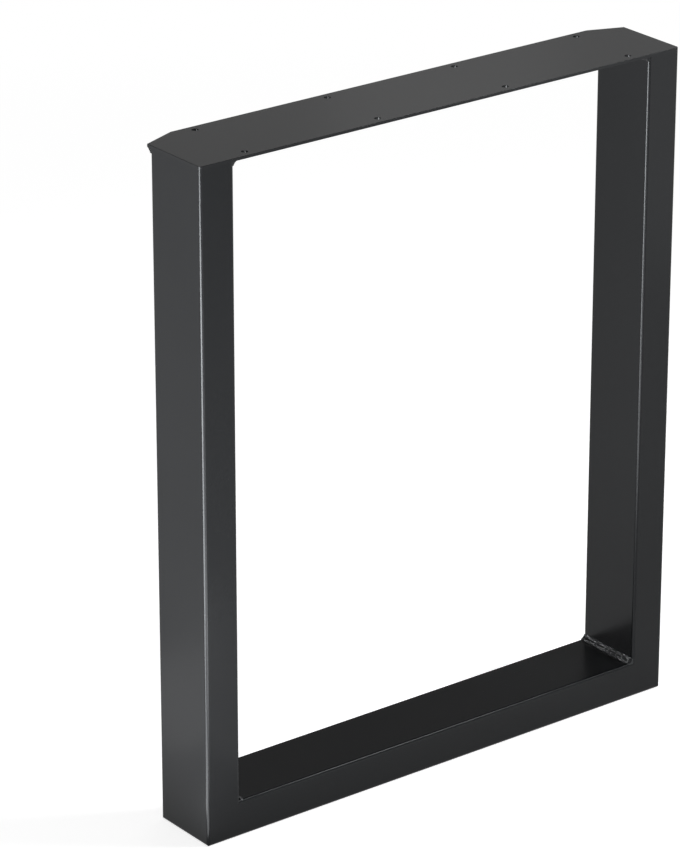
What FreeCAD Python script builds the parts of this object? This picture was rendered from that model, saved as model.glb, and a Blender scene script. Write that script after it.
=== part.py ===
import FreeCAD, Part
import math
import os

# Steel table leg of the closed U kind: two uprights and a floor rail of rectangular tube, mitred
# and welded at the lower corners, under a drilled flat plate that screws to the table top.
# Millimetres, +Z up. The origin is the middle of the rail's underside, on the floor. X runs along
# the width of the leg, -Y is its front, and +Y is the side where the plate stands out.

Vector = FreeCAD.Vector
ACROSS = Vector(1, 0, 0)
BACK = Vector(0, 1, 0)
UP = Vector(0, 0, 1)

# Overall size of the leg
leg_width = 600.0
leg_height = 720.0

# Rectangular tube of both uprights and of the floor rail
tube_depth = 80.0
tube_face = 40.0
tube_wall = 2.0
tube_edge_r = 3.0

# Rounding that is ground onto the welded outer lower corners
ground_corner_r = 3.0

# Mounting plate: flush with the tubes in front and at both ends, standing out behind them
plate_thickness = 3.0
plate_overhang = 20.0
plate_end_overhang = 5.0
plate_chamfer_run = 38.0
plate_chamfer_blend_r = 8.0
plate_edge_r = 0.4

# Wood screw holes in the plate, in two rows
screw_hole_d = 7.0
screws_in_row = 4
screw_end_margin = 60.0
screw_edge_margin = 10.0

# Fillet welds: length of each leg, how hollow the face is, and the ripples of the corner welds
weld_leg = 5.0
weld_hollow = 0.5
weld_ripple_pitch = 4.0
weld_ripple_depth = 0.25
weld_end_gap = 0.5

# Sizes worked out from those above
half_width = leg_width / 2
half_depth = tube_depth / 2
inner_x = half_width - tube_face
plate_underside = leg_height - plate_thickness
plate_back = half_depth + plate_overhang
plate_end_back = half_depth + plate_end_overhang
weld_end = half_depth - weld_end_gap

# A roller pressed along the corner gives the beads their hollow face. It is thinner at a ripple's
# crown, so the bead reaches further there. Before that a bead is a square bar, sunk a little.
roller_r = (weld_leg ** 2 / 2 + weld_hollow ** 2) / (2 * weld_hollow)
roller_place = (weld_leg / math.sqrt(2) - weld_hollow + roller_r) / math.sqrt(2)
crown_roller_r = roller_r - weld_ripple_depth
crown_reach = roller_place - math.sqrt(crown_roller_r ** 2 - roller_place ** 2)
weld_sink = tube_edge_r - weld_end_gap


def box(x_range, y_range, z_range):
    """A plain block between two limits along each axis."""
    size = [limits[1] - limits[0] for limits in (x_range, y_range, z_range)]
    return Part.makeBox(*size, Vector(x_range[0], y_range[0], z_range[0]))


def rounded_rectangle(width, depth, radius):
    """Closed outline about the origin in the XY plane, with equal rounded corners."""
    half_w, half_d = width / 2, depth / 2
    if radius <= 0:
        corners = [(-half_w, -half_d), (half_w, -half_d), (half_w, half_d), (-half_w, half_d)]
        return Part.makePolygon([Vector(x, y, 0) for x, y in corners + corners[:1]])
    edges = []
    for quarter in range(4):
        side_x = 1 if quarter in (0, 3) else -1
        side_y = 1 if quarter in (0, 1) else -1
        centre = Vector(side_x * (half_w - radius), side_y * (half_d - radius), 0)
        edges.append(Part.makeCircle(radius, centre, UP, 90 * quarter, 90 * (quarter + 1)))
    arcs = list(edges)
    for number, arc in enumerate(arcs):
        following = arcs[(number + 1) % 4]
        edges.append(Part.makeLine(arc.lastVertex().Point, following.firstVertex().Point))
    return Part.Wire(Part.__sortEdges__(edges))


def outer_section():
    """Section of the tube as if it had no bore, on the XY plane with its long side along Y."""
    return Part.Face(rounded_rectangle(tube_face, tube_depth, tube_edge_r))


def tube_section():
    """Section of the hollow tube."""
    bore_width, bore_depth = tube_face - 2 * tube_wall, tube_depth - 2 * tube_wall
    bore = Part.Face(rounded_rectangle(bore_width, bore_depth, tube_edge_r - tube_wall))
    return outer_section().cut(bore)


def mirrored(shape):
    """The same shape on the other side of the leg's middle."""
    return shape.mirror(Vector(0, 0, 0), ACROSS)


def mitre_wedge():
    """Everything on the upright's side of the 45 degree cut at the left lower corner."""
    reach = tube_face + tube_edge_r
    corners = [(-reach, -reach), (reach, reach), (-reach, reach)]
    points = [Vector(-half_width + x, -tube_depth, z) for x, z in corners + corners[:1]]
    return Part.Face(Part.makePolygon(points)).extrude(BACK * 2 * tube_depth)


def ground_corner():
    """The sliver that grinding takes off the outer edge of the left lower corner."""
    r = ground_corner_r
    start, middle, end = (
        Vector(-half_width + r - r * math.cos(angle), -tube_depth, r - r * math.sin(angle))
        for angle in (0, math.pi / 4, math.pi / 2)
    )
    tip = Vector(-half_width - r, -tube_depth, -r)
    above, below = Vector(tip.x, tip.y, start.z), Vector(end.x, tip.y, tip.z)
    outline = [
        Part.Arc(start, middle, end).toShape(),
        Part.makeLine(end, below),
        Part.makeLine(below, tip),
        Part.makeLine(tip, above),
        Part.makeLine(above, start),
    ]
    return Part.Face(Part.Wire(outline)).extrude(BACK * 2 * tube_depth)


def upright(section):
    """Left upright: square at the plate, mitred at the floor."""
    tube = section.extrude(UP * plate_underside)
    tube.translate(Vector(-half_width + tube_face / 2, 0, 0))
    rail_side = box((-half_width, half_width), (-tube_depth, tube_depth), (0, tube_face))
    return tube.cut(rail_side.cut(mitre_wedge())).cut(ground_corner())


def floor_rail(section):
    """Rail along the floor, mitred at both ends."""
    tube = section.extrude(UP * leg_width)
    tube.rotate(Vector(0, 0, 0), BACK, 90)
    tube.translate(Vector(-half_width, 0, tube_face / 2))
    for cutter in (mitre_wedge(), ground_corner()):
        tube = tube.cut(cutter).cut(mirrored(cutter))
    return tube


def plate_outline():
    """Outline of the plate at its underside, with its rear corners taken off."""
    chamfer_start = Vector(-half_width, plate_end_back, plate_underside)
    chamfer_end = Vector(-half_width + plate_chamfer_run, plate_back, plate_underside)
    front = Vector(-half_width, -half_depth, plate_underside)
    left_side = [front, chamfer_start, chamfer_end]
    right_side = [Vector(-point.x, point.y, point.z) for point in reversed(left_side)]
    points = left_side + right_side
    return Part.makePolygon(points + points[:1])


def screw_centres():
    """Centres of the screw holes, front row first."""
    pitch = (leg_width - 2 * screw_end_margin) / (screws_in_row - 1)
    first = -half_width + screw_end_margin
    rows = (-half_depth + screw_edge_margin, plate_back - screw_edge_margin)
    return [(first + pitch * number, row) for row in rows for number in range(screws_in_row)]


def upright_edges(plate, x, y):
    """The vertical edges of the plate at one place on its outline."""
    return [
        edge
        for edge in plate.Edges
        if abs(edge.BoundBox.ZLength - plate_thickness) < 0.01
        and abs(abs(edge.CenterOfMass.x) - x) < 0.01
        and abs(edge.CenterOfMass.y - y) < 0.01
    ]


def top_plate():
    """Drilled mounting plate with ground front corners and softly broken edges."""
    plate = Part.Face(plate_outline()).extrude(UP * plate_thickness)
    plate = plate.makeFillet(tube_edge_r, upright_edges(plate, half_width, -half_depth))
    blend_x = half_width - plate_chamfer_run
    plate = plate.makeFillet(plate_chamfer_blend_r, upright_edges(plate, blend_x, plate_back))
    if plate_edge_r > 0:
        rim = [edge for edge in plate.Edges if edge.BoundBox.ZMin > leg_height - 0.01]
        plate = plate.makeFillet(plate_edge_r, rim)
    for x, y in screw_centres():
        below = Vector(x, y, plate_underside - plate_thickness)
        plate = plate.cut(Part.makeCylinder(screw_hole_d / 2, 3 * plate_thickness, below))
    return plate


def roller(length, ripples):
    """Round bar along +X that leaves a row of shallow ripples, or a smooth one for no ripples."""
    if ripples == 0:
        return Part.makeCylinder(roller_r, length, Vector(0, 0, 0), ACROSS)
    pitch = length / ripples
    edges = [Part.makeLine(Vector(0, 0, 0), Vector(0, roller_r, 0))]
    for number in range(ripples):
        start = Vector(number * pitch, roller_r, 0)
        crown = Vector((number + 0.5) * pitch, crown_roller_r, 0)
        end = Vector((number + 1) * pitch, roller_r, 0)
        edges.append(Part.Arc(start, crown, end).toShape())
    edges.append(Part.makeLine(Vector(length, roller_r, 0), Vector(length, 0, 0)))
    edges.append(Part.makeLine(Vector(length, 0, 0), Vector(0, 0, 0)))
    return Part.Face(Part.Wire(edges)).revolve(Vector(0, 0, 0), ACROSS, 360)


def weld_run(start, along, away_from_wall, away_from_seat, length, ripples=0):
    """Straight fillet bead in the corner line from start, still sunk into both faces."""
    reach = crown_reach if ripples else weld_leg
    bar_side = reach + weld_sink
    bar = Part.makeBox(length, bar_side, bar_side, Vector(0, -weld_sink, -weld_sink))
    roll = roller(length, ripples)
    roll.translate(Vector(0, roller_place, roller_place))
    bead = bar.cut(roll)
    bead.Placement = FreeCAD.Placement(start, FreeCAD.Rotation(along, away_from_wall, away_from_seat))
    return bead


def corner_weld():
    """Rippled bead across the inner side of the left lower corner."""
    ripples = max(1, round(2 * weld_end / weld_ripple_pitch))
    start = Vector(-inner_x, weld_end, tube_face)
    bead = weld_run(start, -BACK, ACROSS, UP, 2 * weld_end, ripples)
    return bead.cut(upright(outer_section())).cut(floor_rail(outer_section()))


def weld_turn():
    """Quarter turn of the plate weld round the rear inner edge of the left upright."""
    axis = Vector(-inner_x - tube_edge_r, half_depth - tube_edge_r, plate_underside)
    roller_centre = axis + Vector(tube_edge_r + roller_place, 0, -roller_place)
    round_face = Part.Face(Part.Wire(Part.makeCircle(roller_r, roller_centre, BACK)))
    near, far = axis.x + tube_edge_r - weld_sink, axis.x + tube_edge_r + weld_leg
    high, low = axis.z + weld_sink, axis.z - weld_leg
    corners = [(near, high), (far, high), (far, low), (near, low)]
    square = Part.makePolygon([Vector(x, axis.y, z) for x, z in corners + corners[:1]])
    return Part.Face(square).cut(round_face).revolve(axis, UP, 90)


def plate_weld():
    """Bead under the plate, along the left upright's inner face and round to its rear face.

    Its rear end is ground flush with the end of the leg.
    """
    inner_start = Vector(-inner_x, -weld_end, plate_underside)
    inner_run = weld_run(inner_start, BACK, ACROSS, -UP, weld_end + half_depth - tube_edge_r)
    rear_start = Vector(-inner_x - tube_edge_r, half_depth, plate_underside)
    rear_run = weld_run(rear_start, -ACROSS, BACK, -UP, tube_face - tube_edge_r)
    sides = (-leg_width, leg_width)
    above = box(sides, sides, (plate_underside, leg_height + weld_leg))
    bead = inner_run.multiFuse([weld_turn(), rear_run])
    return bead.cut(upright(outer_section())).cut(above)


def build():
    """All pieces of the leg by node name."""
    left_upright = upright(tube_section())
    left_corner_weld = corner_weld()
    left_plate_weld = plate_weld()
    return {
        "left_upright": left_upright,
        "right_upright": mirrored(left_upright),
        "floor_rail": floor_rail(tube_section()),
        "top_plate": top_plate(),
        "left_corner_weld": left_corner_weld,
        "right_corner_weld": mirrored(left_corner_weld),
        "left_plate_weld": left_plate_weld,
        "right_plate_weld": mirrored(left_plate_weld),
    }


os.makedirs("parts", exist_ok=True)
for name, shape in build().items():
    shape.exportStep(os.path.join("parts", name + ".step"))
    print(name, "solids", len(shape.Solids), "valid", shape.isValid(), "volume", round(shape.Volume, 1))
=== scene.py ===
import math
import random

import bmesh
import bpy
from bpy.props import FloatProperty, FloatVectorProperty, IntProperty, PointerProperty
from mathutils import Matrix, Vector, noise


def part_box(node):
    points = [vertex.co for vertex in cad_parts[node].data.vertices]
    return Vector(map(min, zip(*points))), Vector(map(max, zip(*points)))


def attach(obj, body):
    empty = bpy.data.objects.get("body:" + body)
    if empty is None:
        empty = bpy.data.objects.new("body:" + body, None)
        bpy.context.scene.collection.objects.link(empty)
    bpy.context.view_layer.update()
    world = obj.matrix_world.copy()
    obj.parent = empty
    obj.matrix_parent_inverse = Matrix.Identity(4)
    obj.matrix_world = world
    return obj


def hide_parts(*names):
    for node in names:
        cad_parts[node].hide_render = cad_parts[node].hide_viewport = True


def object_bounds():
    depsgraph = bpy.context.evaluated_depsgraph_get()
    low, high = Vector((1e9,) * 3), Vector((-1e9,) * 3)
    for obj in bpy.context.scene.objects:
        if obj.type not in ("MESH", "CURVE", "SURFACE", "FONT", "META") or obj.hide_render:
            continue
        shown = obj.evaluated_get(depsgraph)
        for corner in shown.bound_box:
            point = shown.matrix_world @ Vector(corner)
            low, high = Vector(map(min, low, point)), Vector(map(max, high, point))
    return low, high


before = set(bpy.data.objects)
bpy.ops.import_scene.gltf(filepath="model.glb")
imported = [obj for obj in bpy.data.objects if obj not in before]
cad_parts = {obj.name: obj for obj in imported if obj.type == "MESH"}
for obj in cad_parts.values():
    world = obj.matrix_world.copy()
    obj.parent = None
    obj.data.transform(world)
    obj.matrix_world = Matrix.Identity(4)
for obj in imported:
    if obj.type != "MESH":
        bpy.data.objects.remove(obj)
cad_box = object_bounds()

bl_info = {
    "name": "Welded Table Leg",
    "version": (1, 0, 0),
    "blender": (4, 5, 0),
    "location": "View3D > Sidebar > Table Leg",
    "description": "Powder coat, weld beads, floor, lamps and camera for a welded steel table leg",
    "category": "Object",
}

MM = 0.001
BODY = "root"

# Places that the weld beads follow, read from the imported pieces
_, upright_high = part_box("left_upright")
_, rail_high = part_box("floor_rail")
plate_low, plate_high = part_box("top_plate")
corner_low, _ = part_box("left_corner_weld")
INNER_X = upright_high.x
TUBE_BACK = upright_high.y
RAIL_TOP = rail_high.z
PLATE_UNDERSIDE = plate_low.z
BEAD_END = -corner_low.y
END_FACE = plate_high.x

# Radius of the tubes' rounded edges, as in the solids
TUBE_EDGE_R = 3 * MM

# A bead's end that is ground flush lies this little behind the leg's end face
FLUSH_GAP = 0.03 * MM

# The beads' meshes: distance from one section to the next, steps round the upright's edge and
# across the face, and how far the hidden side lies behind the tubes' faces and the plate's underside
CORNER_STEP = 0.22 * MM
PLATE_STEP = 0.3 * MM
TURN_STEPS = 16
FACE_STEPS = 26
TUBE_SINK = 2.9 * MM
PLATE_SINK = 0.5 * MM

# The beads' skin: place and width of the ridges as shares of half the face, length over which
# ridges and wander die out at the ends, and length of the wander
TOE_PLACE = 0.78
TOE_WIDTH = 0.17
CALM_END = 4 * MM
WANDER_LENGTH = 4.5 * MM

# The beads' rounded ends: their length, and the share of the section that is lost there
ROUNDED_END = 1.2 * MM
END_LOSS = 0.3

# The beads' ripples: how far they curve back towards the bead's edges and how far they drift, both
# in pitches, and the length of the drift
RIPPLE_CURVE = 1.3
RIPPLE_DRIFT = 0.6
DRIFT_LENGTH = 9 * MM

# Strength of the ripples from one to the next, the share of a ripple's height that is a slope, and
# the share that is left of the ripples in the middle of the face
LEAST_STRENGTH = 0.1
MEAN_STRENGTH = 0.8
STRENGTH_SPREAD = 2.6
SLOPE_SHARE = 0.35
MIDDLE_SHARE = 0.4

# Direction of the corner line, seen from the centre of the bead's hollow face
TOWARDS_CORNER = math.radians(225)

# Deepest point of the pit in a bead's end, along both faces from the corner line
PIT_PLACE = 1.2 * MM

# Edges sharper than this stay sharp in the shading
SHARP_ANGLE = math.radians(50)

# Radius of the floor, and the distances from its middle between which it fades to white
FLOOR_RADIUS = 60.0
FADE_START = 0.8
FADE_END = 2.4

# Slopes of view between which the surroundings go from white to dim
WHITE_UP_TO = 0.1
DIM_FROM = 0.35

# Width of the camera's sensor in millimetres
SENSOR_WIDTH = 36.0

# The coat's clouds: how many lie along a metre, and how far shade and roughness go either way
CLOUDS = 9.0
SHADE_SWING = 0.05
GLOSS_SWING = 0.012

# The coat's powder grain against its orange peel: how many times finer, and its share of the depth
POWDER_FINENESS = 6
POWDER_DEPTH = 0.25

# Droplets beside a corner bead: least and largest size, distance from the bead in millimetres, how
# much they crowd to its front end, the share that lies on the rail, and their shape on rail and tube
SPATTER_SIZE = (0.35, 1.0)
SPATTER_BESIDE = (0.2, 5.0)
SPATTER_CROWDING = 1.8
SPATTER_ON_RAIL = 0.6
RAIL_SHAPE = (1, 1, 0.6)
TUBE_SHAPE = (0.6, 1, 1)

# Drops on a corner bead's front end: distance from the end, distance aside of the bead's middle
# towards the rail, and size against the largest droplet. They are flattened along DROP_UP.
FRONT_DROPS = (
    (2.0 * MM, 0.2 * MM, 2.1),
    (3.4 * MM, -1.4 * MM, 1.5),
    (6.2 * MM, 0.9 * MM, 1.6),
    (9.0 * MM, 0.1 * MM, 1.7),
    (13.0 * MM, -1.3 * MM, 1.2),
    (20.5 * MM, 1.3 * MM, 1.6),
)
DROP_UP = Vector((0.45, -0.55, 0.70))
DROP_SHAPE = (1, 1, 0.5)


class CoatSettings(bpy.types.PropertyGroup):
    """Satin black powder coat on tubes, plate and welds"""

    tube_colour: FloatVectorProperty(
        name="Tube colour", description="Coat on the tubes", subtype="COLOR",
        size=3, min=0, max=1, default=(0.0054, 0.0057, 0.0062),
    )
    plate_colour: FloatVectorProperty(
        name="Plate colour", description="Coat on the mounting plate", subtype="COLOR",
        size=3, min=0, max=1, default=(0.0064, 0.0067, 0.0072),
    )
    roughness: FloatProperty(
        name="Roughness", description="Roughness of the satin coat",
        subtype="FACTOR", min=0, max=1, default=0.23,
    )
    specular: FloatProperty(
        name="Specular level", description="Strength of the coat's reflection",
        subtype="FACTOR", min=0, max=1, default=0.16,
    )
    reflection: FloatVectorProperty(
        name="Reflection tint", description="Faint cool cast of the coat's reflection", subtype="COLOR",
        size=3, min=0, max=1, default=(0.93, 0.965, 1.0),
    )
    grain: FloatProperty(
        name="Orange peel size", description="Width of the coat's ripples",
        subtype="DISTANCE", unit="LENGTH", min=0.0002, default=2.2 * MM,
    )
    relief: FloatProperty(
        name="Orange peel depth", description="Depth of the coat's ripples",
        subtype="DISTANCE", unit="LENGTH", min=0, default=0.009 * MM,
    )


class WeldSettings(bpy.types.PropertyGroup):
    """Fillet weld beads under the coat"""

    leg: FloatProperty(
        name="Leg length", description="How far the bead reaches up each face",
        subtype="DISTANCE", unit="LENGTH", min=0.001, default=5.0 * MM,
    )
    hollow: FloatProperty(
        name="Hollow", description="How far the bead's face lies behind a flat one",
        subtype="DISTANCE", unit="LENGTH", min=0.0001, default=0.7 * MM,
    )
    pitch: FloatProperty(
        name="Ripple pitch", description="Distance from one ripple to the next",
        subtype="DISTANCE", unit="LENGTH", min=0.0005, default=4.6 * MM,
    )
    ripple: FloatProperty(
        name="Ripple height", description="Height of a ripple over the bead",
        subtype="DISTANCE", unit="LENGTH", min=0, default=0.6 * MM,
    )
    toe: FloatProperty(
        name="Toe ridge", description="Height of the ridge along each edge of the bead",
        subtype="DISTANCE", unit="LENGTH", min=0, default=0.12 * MM,
    )
    wander: FloatProperty(
        name="Toe wander", description="How far the bead's edges wander",
        subtype="DISTANCE", unit="LENGTH", min=0, default=0.45 * MM,
    )
    gloss: FloatProperty(
        name="Gloss", description="Strength of the reflection on the beads",
        subtype="FACTOR", min=0, max=1, default=0.35,
    )
    crater: FloatProperty(
        name="Crater depth", description="Pit in the front end of the left corner bead",
        subtype="DISTANCE", unit="LENGTH", min=0, default=3.0 * MM,
    )
    spatter: IntProperty(
        name="Spatter", description="Droplets of weld metal beside each corner bead",
        min=0, default=14,
    )
    droplet: FloatProperty(
        name="Droplet size", description="Radius of the largest droplets",
        subtype="DISTANCE", unit="LENGTH", min=0.0001, default=0.7 * MM,
    )


class StageSettings(bpy.types.PropertyGroup):
    """Floor, lamps and camera"""

    camera_place: FloatVectorProperty(
        name="Camera", description="Where the camera stands", subtype="TRANSLATION",
        unit="LENGTH", size=3, default=(-2.622, -3.270, 2.118),
    )
    camera_yaw: FloatProperty(
        name="Yaw", description="Camera's turn from looking straight to the back",
        subtype="ANGLE", unit="ROTATION", default=math.radians(37.61),
    )
    camera_pitch: FloatProperty(
        name="Pitch", description="How far the camera looks down",
        subtype="ANGLE", unit="ROTATION", default=math.radians(22.72),
    )
    lens: FloatProperty(
        name="Focal length", description="Lens on a 36 mm wide sensor, in millimetres",
        min=10, default=188.0,
    )
    floor_colour: FloatVectorProperty(
        name="Floor", description="Pale floor", subtype="COLOR", size=3, min=0, max=1,
        default=(0.8, 0.8, 0.8),
    )
    ambient: FloatProperty(
        name="Ambient", description="Strength of the even light from all round", min=0, default=0.04,
    )
    ceiling: FloatProperty(
        name="Ceiling", description="Brightness of the surroundings overhead", min=0, max=1,
        default=0.22,
    )
    floor_glow: FloatProperty(
        name="Floor glow", description="Lifts the seen floor to white beside its shadow", min=0,
        max=1, default=0.83,
    )


# Soft lamps: name, place, point it is aimed at, width and height in metres, power in watts,
# and for some the angle of the cone that they light, in degrees.
# Those at floor level face up and show as the bright lines on the tubes' rounded edges.
LAMPS = (
    ("floor_near", (-0.53, -0.10, 0.004), (-0.53, -0.10, 1), (0.34, 0.24), 3.5),
    ("floor_middle", (-0.975, -0.25, 0.004), (-0.975, -0.25, 1), (0.55, 0.6), 27.5),
    ("floor_far", (-1.775, -0.55, 0.004), (-1.775, -0.55, 1), (1.05, 1.3), 180.0),
    ("front_strip", (-0.16, -1.1, 0.004), (-0.16, -1.1, 1), (0.25, 1.3), 9.0),
    ("front_strip_near", (-0.27, -0.3, 0.004), (-0.27, -0.3, 1), (0.08, 0.3), 0.2),
    ("inner_edge", (-0.36, -0.46, 0.004), (-0.36, -0.46, 1), (0.4, 0.36), 4.8),
    ("inner_edge_high", (-0.70, -0.78, 0.004), (-0.70, -0.78, 1), (0.45, 0.45), 6.0),
    ("low_left", (-0.49, 0.24, 0.004), (-0.49, 0.24, 1), (0.2, 0.2), 0.06),
    ("foot_edge", (-0.342, -0.071, 0.004), (-0.342, -0.071, 1), (0.06, 0.055), 0.085),
    ("low_front", (-0.13, -0.25, 0.02), (-0.28, -0.04, 0.15), (0.22, 0.22), 0.05),
    ("low_rail", (0.05, -0.16, 0.004), (0.05, -0.16, 1), (0.45, 0.12), 0.1),
    ("right_box", (1.05, -0.95, 0.3), (0.28, -0.04, 0.4), (0.5, 0.5), 0.7),
    ("rim_box", (1.18, -1.0, 1.64), (0, -0.04, 0.04), (0.5, 0.5), 18.0),
    ("weld_back", (0.14, 1.61, 1.56), (0.26, 0, 0.045), (0.25, 0.25), 0.038, 12),
    ("weld_left", (-0.99, 1.46, 0.64), (0.26, 0, 0.045), (0.25, 0.25), 0.038, 12),
    ("back_box", (0.95, 1.25, 1.5), (0, 0, 0.72), (1.0, 0.7), 0.58),
    ("back_small", (0.92, 1.1, 1.3), (0.08, 0, 0.72), (0.3, 0.3), 0.055),
    ("top_box", (0, 0, 2.4), (0, 0, 0.4), (1.4, 1.4), 11.0),
)


def node_maker(tree):
    """A short way to add nodes and link them."""

    def add(kind, inputs=None, **settings):
        node = tree.nodes.new(kind)
        for key, value in settings.items():
            setattr(node, key, value)
        for key, value in (inputs or {}).items():
            if isinstance(value, bpy.types.NodeSocket):
                tree.links.new(value, node.inputs[key])
            else:
                node.inputs[key].default_value = value
        return node

    return add


def uneven(add, clouds, middle, swing):
    """Value that goes a little up and down from its middle with the clouds of a noise."""
    return add("ShaderNodeMapRange", {
        "Value": clouds, "From Min": 0.3, "From Max": 0.7,
        "To Min": middle - swing, "To Max": middle + swing,
    }).outputs[0]


def coat_material(name, colour, coat, ripples=1.0, specular=None, sharper=1.0):
    """Satin powder coat with orange peel and a slightly uneven gloss."""
    material = bpy.data.materials.new(name)
    material.use_nodes = True
    tree = material.node_tree
    tree.nodes.clear()
    add = node_maker(tree)
    place = add("ShaderNodeTexCoord").outputs["Object"]
    clouds = add("ShaderNodeTexNoise", {"Vector": place, "Scale": CLOUDS, "Detail": 3.0}).outputs["Fac"]
    peel = add("ShaderNodeTexNoise", {"Vector": place, "Scale": 1 / coat.grain, "Detail": 2.0})
    powder = add("ShaderNodeTexNoise", {
        "Vector": place, "Scale": POWDER_FINENESS / coat.grain, "Detail": 1.0,
    })
    shade = uneven(add, clouds, 1.0, SHADE_SWING)
    tint = add("ShaderNodeVectorMath", {0: tuple(colour), "Scale": shade}, operation="SCALE")
    gloss = uneven(add, clouds, coat.roughness * sharper, GLOSS_SWING)
    fine = add("ShaderNodeBump", {
        "Strength": 1.0, "Distance": coat.relief * POWDER_DEPTH * ripples,
        "Height": powder.outputs["Fac"],
    })
    relief = add("ShaderNodeBump", {
        "Strength": 1.0, "Distance": coat.relief * ripples, "Height": peel.outputs["Fac"],
        "Normal": fine.outputs[0],
    })
    shader = add("ShaderNodeBsdfPrincipled", {
        "Base Color": tint.outputs[0],
        "Roughness": gloss,
        "Normal": relief.outputs[0],
    })
    shader.inputs["Specular IOR Level"].default_value = coat.specular if specular is None else specular
    shader.inputs["Specular Tint"].default_value = (*coat.reflection, 1)
    out = add("ShaderNodeOutputMaterial")
    tree.links.new(shader.outputs[0], out.inputs[0])
    return material


def dress_node(name, material):
    """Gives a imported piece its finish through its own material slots."""
    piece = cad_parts[name]
    for slot in piece.material_slots:
        slot.material = material
    if not piece.material_slots:
        piece.data.materials.append(material)


def corner_path():
    """Corner line between rail and left upright, with the directions away from both."""
    steps = round(2 * BEAD_END / CORNER_STEP)
    for number in range(steps + 1):
        y = BEAD_END - 2 * BEAD_END * number / steps
        yield Vector((-abs(INNER_X), y, RAIL_TOP)), Vector((1, 0, 0)), Vector((0, 0, 1))


def plate_path():
    """Corner line under the plate: along the upright's inner face, round its edge, along its rear face."""
    down = Vector((0, 0, -1))
    inner = -abs(INNER_X)
    axis = Vector((inner - TUBE_EDGE_R, TUBE_BACK - TUBE_EDGE_R, PLATE_UNDERSIDE))
    straight = TUBE_BACK - TUBE_EDGE_R + BEAD_END
    for number in range(round(straight / PLATE_STEP)):
        yield Vector((inner, -BEAD_END + number * PLATE_STEP, PLATE_UNDERSIDE)), Vector((1, 0, 0)), down
    for number in range(TURN_STEPS + 1):
        angle = math.pi / 2 * number / TURN_STEPS
        out = Vector((math.cos(angle), math.sin(angle), 0))
        yield axis + out * TUBE_EDGE_R, out, down
    rest = END_FACE - FLUSH_GAP + axis.x
    steps = round(rest / PLATE_STEP)
    for number in range(1, steps + 1):
        place = Vector((axis.x - rest * number / steps, TUBE_BACK, PLATE_UNDERSIDE))
        yield place, Vector((0, 1, 0)), down


def ripple_height(distance, across, weld, seed):
    """Height of the crescent ripples at a distance along the bead; across runs from -1 to 1."""
    lag = RIPPLE_CURVE * across * across
    drift = RIPPLE_DRIFT * noise.noise(Vector((distance / DRIFT_LENGTH, seed, 0.3)))
    phase = distance / weld.pitch + lag + drift
    part = phase - math.floor(phase)
    scale = 1 - (2 * part - 1) ** 2
    chance = noise.noise(Vector((math.floor(phase) * 0.7, seed, 4.1)))
    strength = max(LEAST_STRENGTH, MEAN_STRENGTH + STRENGTH_SPREAD * chance)
    return weld.ripple * strength * (SLOPE_SHARE * part + (1 - SLOPE_SHARE) * scale)


def end_size(distance, total, flush_end):
    """Share of its full section that the bead has near its ends, which are rounded over shortly."""
    to_end = distance if flush_end else min(distance, total - distance)
    part = min(1.0, to_end / ROUNDED_END)
    return 1 - END_LOSS + END_LOSS * math.sqrt(1 - (1 - part) ** 2)


def bead_points(distance, total, weld, seed):
    """Points across the bead's face, as distances from the corner line along wall and seat."""
    roller_r = (weld.leg ** 2 / 2 + weld.hollow ** 2) / (2 * weld.hollow)
    centre = (weld.leg / math.sqrt(2) - weld.hollow + roller_r) / math.sqrt(2)
    half_angle = math.asin(weld.leg / math.sqrt(2) / roller_r)
    calm = min(1.0, distance / CALM_END, (total - distance) / CALM_END)
    points = []
    for number in range(FACE_STEPS + 1):
        across = 2 * number / FACE_STEPS - 1
        angle = TOWARDS_CORNER - half_angle * across
        edge = noise.noise(Vector((distance / WANDER_LENGTH, seed + (5 if across > 0 else 0), 1.7)))
        widen = weld.wander * edge * calm * across * across
        toe = math.exp(-((abs(across) - TOE_PLACE) / TOE_WIDTH) ** 2) * calm
        ripple = ripple_height(distance, across, weld, seed)
        height = ripple * (MIDDLE_SHARE + (1 - MIDDLE_SHARE) * toe) + weld.toe * toe
        radius = roller_r - height
        along_wall = centre + radius * math.cos(angle)
        along_seat = centre + radius * math.sin(angle)
        if across < 0:
            along_wall += widen
        else:
            along_seat += widen
        points.append((along_wall, along_seat))
    return points


def close_end(mesh, ring, corner, wall, seat, inwards):
    """Closes the bead's last section, with a pit in it where inwards has a length."""
    if not inwards.length:
        mesh.faces.new(ring)
        return
    pit = mesh.verts.new(corner + (wall + seat) * PIT_PLACE + inwards)
    for number, vert in enumerate(ring):
        mesh.faces.new((vert, ring[(number + 1) % len(ring)], pit))


def bead_mesh(path, weld, seed, seat_sink, crater=0.0, flush_end=False):
    """Closed hollow-faced bead swept along a corner line, with rippled skin and wandering edges."""
    stations = list(path)
    lengths = [0.0]
    for before, after in zip(stations, stations[1:]):
        lengths.append(lengths[-1] + (after[0] - before[0]).length)
    total = lengths[-1]
    mesh = bmesh.new()
    rings = []
    for (corner, wall, seat), distance in zip(stations, lengths):
        size = end_size(distance, total, flush_end)
        face = [(u * size, v * size) for u, v in bead_points(distance, total, weld, seed)]
        ring = [(-TUBE_SINK, -seat_sink), (face[0][0], -seat_sink), *face, (-TUBE_SINK, face[-1][1])]
        rings.append([mesh.verts.new(corner + wall * u + seat * v) for u, v in ring])
    for low, high in zip(rings, rings[1:]):
        count = len(low)
        for number in range(count):
            following = (number + 1) % count
            mesh.faces.new((low[number], low[following], high[following], high[number]))
    mesh.faces.new(reversed(rings[0]))
    corner, wall, seat = stations[-1]
    back = (stations[-2][0] - corner).normalized()
    close_end(mesh, rings[-1], corner, wall, seat, back * crater)
    return mesh


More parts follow.
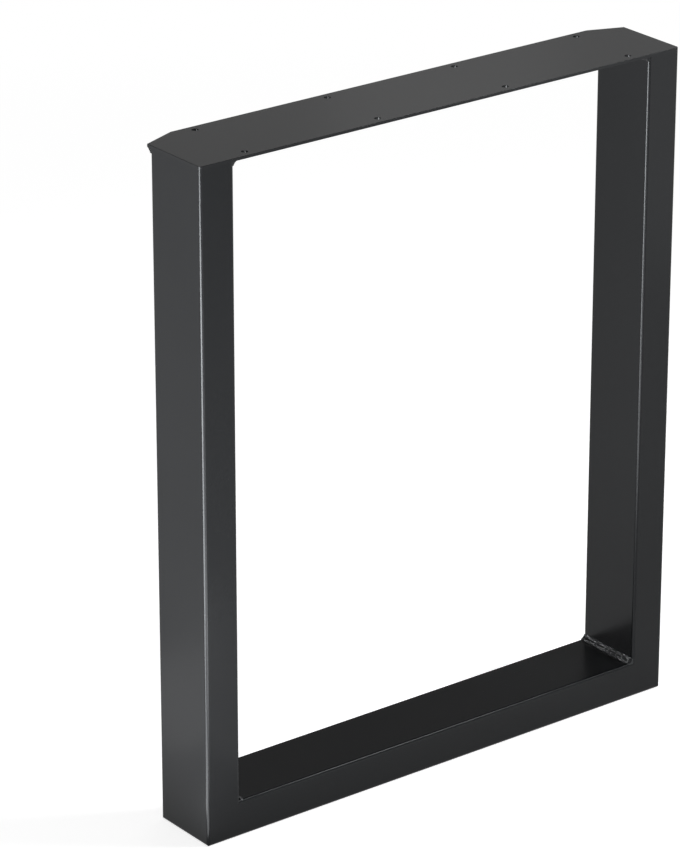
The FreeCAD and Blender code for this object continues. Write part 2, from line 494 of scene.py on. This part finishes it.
def add_droplet(mesh, place, radius, flatten, up=Vector((0, 0, 1))):
    """One droplet of weld metal, flattened against the face that it lies on."""
    turn = up.to_track_quat("Z", "Y").to_matrix().to_4x4()
    shape = Matrix.Translation(place) @ turn @ Matrix.Diagonal((*flatten, 1))
    bmesh.ops.create_icosphere(mesh, subdivisions=2, radius=radius, matrix=shape)


def add_spatter(mesh, weld, seed):
    """Droplets on both faces beside a corner bead, more of them towards its front end."""
    chance = random.Random(seed)
    corner = Vector((-abs(INNER_X), 0, RAIL_TOP))
    flat_end = TUBE_BACK - TUBE_EDGE_R
    for _ in range(weld.spatter):
        radius = weld.droplet * chance.uniform(*SPATTER_SIZE)
        y = flat_end * (2 * chance.random() ** SPATTER_CROWDING - 1)
        beside = weld.leg + chance.uniform(*SPATTER_BESIDE) * MM
        on_rail = chance.random() < SPATTER_ON_RAIL
        along = Vector((1, 0, 0)) if on_rail else Vector((0, 0, 1))
        flatten = RAIL_SHAPE if on_rail else TUBE_SHAPE
        add_droplet(mesh, corner + Vector((0, y, 0)) + along * beside, radius, flatten)


def add_front_drops(mesh, weld):
    """Larger drops that lie on the front end of a corner bead."""
    corner = Vector((-abs(INNER_X), -BEAD_END, RAIL_TOP))
    middle = (weld.leg / math.sqrt(2) - weld.hollow) / math.sqrt(2) + weld.ripple
    for from_end, aside, size in FRONT_DROPS:
        place = corner + Vector((middle + aside, from_end, middle - aside))
        add_droplet(mesh, place, weld.droplet * size, DROP_SHAPE, DROP_UP)


def finish_mesh(mesh, name, mirrored):
    """Turns a bmesh into a smooth shaded object, on the right hand side if it is mirrored."""
    if mirrored:
        bmesh.ops.transform(mesh, matrix=Matrix.Scale(-1, 4, (1, 0, 0)), verts=mesh.verts)
    bmesh.ops.recalc_face_normals(mesh, faces=mesh.faces)
    data = bpy.data.meshes.new(name)
    mesh.to_mesh(data)
    mesh.free()
    data.polygons.foreach_set("use_smooth", [True] * len(data.polygons))
    data.set_sharp_from_angle(angle=SHARP_ANGLE)
    piece = bpy.data.objects.new(name, data)
    bpy.context.scene.collection.objects.link(piece)
    return piece


def ride_and_name(piece, material, node):
    """Puts the bead on the leg's body in place of its plain solid."""
    piece.data.materials.append(material)
    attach(piece, BODY)
    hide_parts(node)


class LEG_OT_coat_tubes(bpy.types.Operator):
    """Coat the two uprights and the floor rail"""

    bl_idname = "leg.coat_tubes"
    bl_label = "Coat tubes"

    def execute(self, context):
        coat = context.scene.leg_coat
        material = coat_material("tube_coat", coat.tube_colour, coat)
        for name in ("left_upright", "right_upright", "floor_rail"):
            dress_node(name, material)
        return {"FINISHED"}


class LEG_OT_coat_plate(bpy.types.Operator):
    """Coat the mounting plate"""

    bl_idname = "leg.coat_plate"
    bl_label = "Coat plate"

    def execute(self, context):
        coat = context.scene.leg_coat
        dress_node("top_plate", coat_material("plate_coat", coat.plate_colour, coat))
        return {"FINISHED"}


class LEG_OT_corner_welds(bpy.types.Operator):
    """Lay the rippled beads across the inner lower corners"""

    bl_idname = "leg.corner_welds"
    bl_label = "Lay corner welds"

    def execute(self, context):
        coat, weld = context.scene.leg_coat, context.scene.leg_weld
        material = coat_material("weld_coat", coat.tube_colour, coat, specular=weld.gloss, sharper=0.7)
        for side, mirrored, seed in (("left", False, 11), ("right", True, 23)):
            mesh = bead_mesh(corner_path(), weld, seed, TUBE_SINK, 0.0 if mirrored else weld.crater)
            add_spatter(mesh, weld, seed)
            if mirrored:
                add_front_drops(mesh, weld)
            bead = finish_mesh(mesh, side + "_corner_bead", mirrored)
            ride_and_name(bead, material, side + "_corner_weld")
        return {"FINISHED"}


class LEG_OT_plate_welds(bpy.types.Operator):
    """Lay the beads between the plate and the uprights"""

    bl_idname = "leg.plate_welds"
    bl_label = "Lay plate welds"

    def execute(self, context):
        coat, weld = context.scene.leg_coat, context.scene.leg_weld
        material = coat_material("plate_weld_coat", coat.tube_colour, coat, ripples=1.5)
        for side, mirrored, seed in (("left", False, 37), ("right", True, 41)):
            mesh = bead_mesh(plate_path(), weld, seed, PLATE_SINK, flush_end=True)
            bead = finish_mesh(mesh, side + "_plate_bead", mirrored)
            ride_and_name(bead, material, side + "_plate_weld")
        return {"FINISHED"}


class LEG_OT_stage(bpy.types.Operator):
    """Set up floor, lamps, world and camera"""

    bl_idname = "leg.stage"
    bl_label = "Set stage"

    def execute(self, context):
        stage = context.scene.leg_stage
        make_floor(stage)
        make_world(context.scene, stage)
        for lamp in LAMPS:
            make_lamp(*lamp)
        make_camera(context.scene, stage)
        context.scene.view_settings.view_transform = "Standard"
        return {"FINISHED"}


def seen_directly(add):
    """Factor that is 1 for rays from the camera, off gloss and through glass, and 0 for the rest."""
    rays = add("ShaderNodeLightPath").outputs
    pair = add("ShaderNodeMath", {0: rays["Is Camera Ray"], 1: rays["Is Glossy Ray"]}, operation="MAXIMUM")
    return add(
        "ShaderNodeMath", {0: pair.outputs[0], 1: rays["Is Transmission Ray"]}, operation="MAXIMUM"
    ).outputs[0]


def make_floor(stage):
    """Pale round floor that takes the leg's shadow and fades to plain white away from it."""
    mesh = bmesh.new()
    bmesh.ops.create_circle(mesh, cap_ends=True, segments=96, radius=FLOOR_RADIUS)
    data = bpy.data.meshes.new("floor")
    mesh.to_mesh(data)
    mesh.free()
    floor = bpy.data.objects.new("floor", data)
    bpy.context.scene.collection.objects.link(floor)
    floor.location.z = cad_box[0].z
    material = bpy.data.materials.new("floor_paint")
    material.use_nodes = True
    tree = material.node_tree
    tree.nodes.clear()
    add = node_maker(tree)
    place = add("ShaderNodeTexCoord").outputs["Object"]
    away = add("ShaderNodeVectorMath", {0: place}, operation="LENGTH").outputs["Value"]
    fade = add("ShaderNodeMapRange", {
        "Value": away, "From Min": FADE_START, "From Max": FADE_END,
    }).outputs[0]
    matt = add("ShaderNodeBsdfDiffuse", {"Color": (*stage.floor_colour, 1)})
    seen = seen_directly(add)
    glow = add("ShaderNodeEmission", {"Color": (1, 1, 1, 1), "Strength": stage.floor_glow})
    both = add("ShaderNodeAddShader")
    tree.links.new(matt.outputs[0], both.inputs[0])
    tree.links.new(glow.outputs[0], both.inputs[1])
    near = add("ShaderNodeMixShader", {0: seen})
    tree.links.new(matt.outputs[0], near.inputs[1])
    tree.links.new(both.outputs[0], near.inputs[2])
    white = add("ShaderNodeEmission", {"Color": (1, 1, 1, 1), "Strength": 1.0})
    far_factor = add("ShaderNodeMath", {0: fade, 1: seen}, operation="MULTIPLY").outputs[0]
    mixed = add("ShaderNodeMixShader", {0: far_factor})
    tree.links.new(near.outputs[0], mixed.inputs[1])
    tree.links.new(white.outputs[0], mixed.inputs[2])
    out = add("ShaderNodeOutputMaterial")
    tree.links.new(mixed.outputs[0], out.inputs[0])
    data.materials.append(material)


def make_world(scene, stage):
    """Surroundings that are white at eye level and dim overhead, and an even light from them."""
    world = bpy.data.worlds.new("surroundings")
    scene.world = world
    world.use_nodes = True
    tree = world.node_tree
    tree.nodes.clear()
    add = node_maker(tree)
    direction = add("ShaderNodeTexCoord").outputs["Generated"]
    height = add("ShaderNodeSeparateXYZ", {"Vector": direction}).outputs["Z"]
    seen = add("ShaderNodeMapRange", {
        "Value": height, "From Min": WHITE_UP_TO, "From Max": DIM_FROM,
        "To Min": 1.0, "To Max": stage.ceiling,
    }, interpolation_type="SMOOTHSTEP").outputs[0]
    strength = add("ShaderNodeMapRange", {
        "Value": seen_directly(add), "To Min": stage.ambient, "To Max": seen,
    }).outputs[0]
    light = add("ShaderNodeBackground", {"Color": (1, 1, 1, 1), "Strength": strength})
    out = add("ShaderNodeOutputWorld")
    tree.links.new(light.outputs[0], out.inputs[0])


def make_lamp(name, place, aim, size, power, spread=180):
    """Rectangular soft lamp that the camera doesn't see."""
    light = bpy.data.lights.new(name, "AREA")
    light.shape = "RECTANGLE"
    light.size, light.size_y = size
    light.energy = power
    light.spread = math.radians(spread)
    lamp = bpy.data.objects.new(name, light)
    bpy.context.scene.collection.objects.link(lamp)
    lamp.location = place
    lamp.rotation_mode = "QUATERNION"
    lamp.rotation_quaternion = (Vector(aim) - Vector(place)).to_track_quat("-Z", "Y")
    lamp.visible_camera = False


def make_camera(scene, stage):
    """Camera at the photograph's angle."""
    data = bpy.data.cameras.new("camera")
    data.sensor_width = SENSOR_WIDTH
    data.lens = stage.lens
    camera = bpy.data.objects.new("camera", data)
    scene.collection.objects.link(camera)
    camera.location = stage.camera_place
    camera.rotation_euler = (math.pi / 2 - stage.camera_pitch, 0, -stage.camera_yaw)
    scene.camera = camera


class LEG_PT_panel(bpy.types.Panel):
    """Table leg panel in the 3D view's sidebar"""

    bl_label = "Table leg"
    bl_idname = "LEG_PT_panel"
    bl_space_type = "VIEW_3D"
    bl_region_type = "UI"
    bl_category = "Table Leg"

    def draw(self, context):
        scene = context.scene
        for settings in (scene.leg_coat, scene.leg_weld, scene.leg_stage):
            box = self.layout.box()
            for name in settings.__annotations__:
                box.prop(settings, name)
        for operator in OPERATORS:
            self.layout.operator(operator.bl_idname)


OPERATORS = (
    LEG_OT_coat_tubes,
    LEG_OT_coat_plate,
    LEG_OT_corner_welds,
    LEG_OT_plate_welds,
    LEG_OT_stage,
)
CLASSES = (CoatSettings, WeldSettings, StageSettings, *OPERATORS, LEG_PT_panel)


def register():
    for cls in CLASSES:
        bpy.utils.register_class(cls)
    bpy.types.Scene.leg_coat = PointerProperty(type=CoatSettings)
    bpy.types.Scene.leg_weld = PointerProperty(type=WeldSettings)
    bpy.types.Scene.leg_stage = PointerProperty(type=StageSettings)


def unregister():
    del bpy.types.Scene.leg_stage
    del bpy.types.Scene.leg_weld
    del bpy.types.Scene.leg_coat
    for cls in reversed(CLASSES):
        bpy.utils.unregister_class(cls)


def main():
    register()
    bpy.ops.leg.coat_tubes()
    bpy.ops.leg.coat_plate()
    bpy.ops.leg.corner_welds()
    bpy.ops.leg.plate_welds()
    bpy.ops.leg.stage()


if __name__ == "__main__":
    main()
